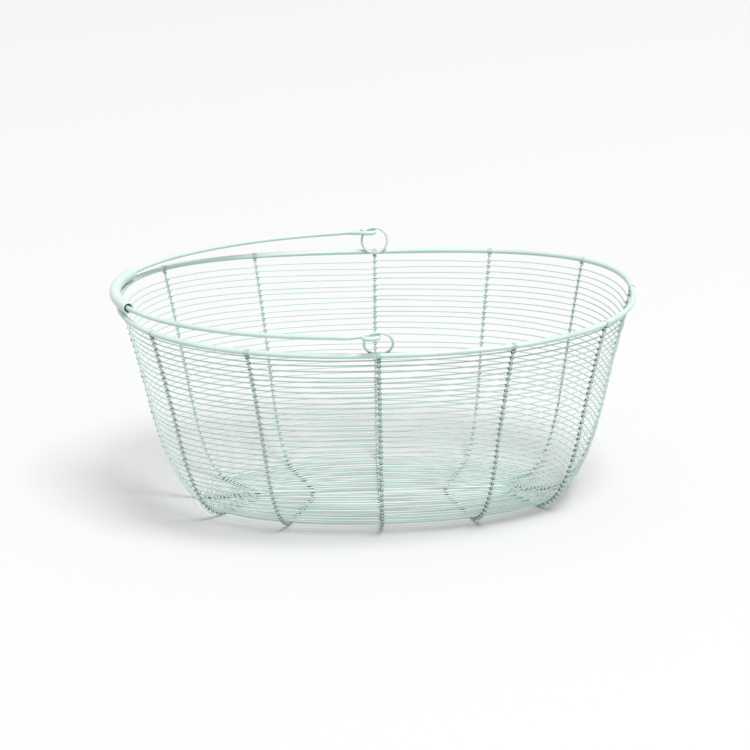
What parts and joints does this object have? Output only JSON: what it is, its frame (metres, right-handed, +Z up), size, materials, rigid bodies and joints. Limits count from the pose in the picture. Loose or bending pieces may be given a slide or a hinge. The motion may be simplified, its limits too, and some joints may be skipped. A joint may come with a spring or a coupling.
{
  "type": "egg collection basket",
  "caption": "Oval wire basket for collecting eggs, tapering to a smaller rounded base, with one swing handle that folds down on the rim.",
  "frame": {"origin": "on the ground under the middle of the basket, where the middle rib crosses the long rib", "axes": "+X along the basket's long axis, away from the folded handle; +Y towards the back; +Z up"},
  "size_m": [0.4102, 0.3069, 0.186],
  "materials": {
    "frame_wire": "satin mint powder coat on steel wire",
    "fine_wire": "satin mint powder coat on fine steel wire",
    "grip": "satin mint powder coat on steel tube"
  },
  "bodies": {
    "basket": {"rim_wire": "frame_wire", "rib_long": "frame_wire", "rib_middle": "frame_wire", "rib_left_1": "frame_wire", "rib_left_2": "frame_wire", "rib_right_1": "frame_wire", "rib_right_2": "frame_wire", "weft_1": "fine_wire", "weft_2": "fine_wire", "weft_3": "fine_wire", "weft_4": "fine_wire", "weft_5": "fine_wire", "weft_6": "fine_wire", "weft_7": "fine_wire", "weft_8": "fine_wire", "binding_right_end": "fine_wire", "binding_left_end": "fine_wire", "binding_right_back_1": "fine_wire", "binding_left_back_1": "fine_wire", "binding_left_front_1": "fine_wire", "binding_right_front_1": "fine_wire", "binding_right_back_2": "fine_wire", "binding_left_back_2": "fine_wire", "binding_left_front_2": "fine_wire", "binding_right_front_2": "fine_wire", "binding_ring_back": "fine_wire", "binding_ring_front": "fine_wire", "lug_ring_back": "frame_wire", "lug_ring_front": "frame_wire"},
    "handle": {"bail_wire": "frame_wire", "grip_tube": "grip"}
  },
  "joints": [
    {"name": "handle_swing", "type": "hinge", "parent": "basket", "child": "handle", "pos_m": [0.0003, -0.00278, 0.1797], "axis": [0.0129, 0.9998, -0.0137], "range_deg": [0, 181.8]}
  ]
}
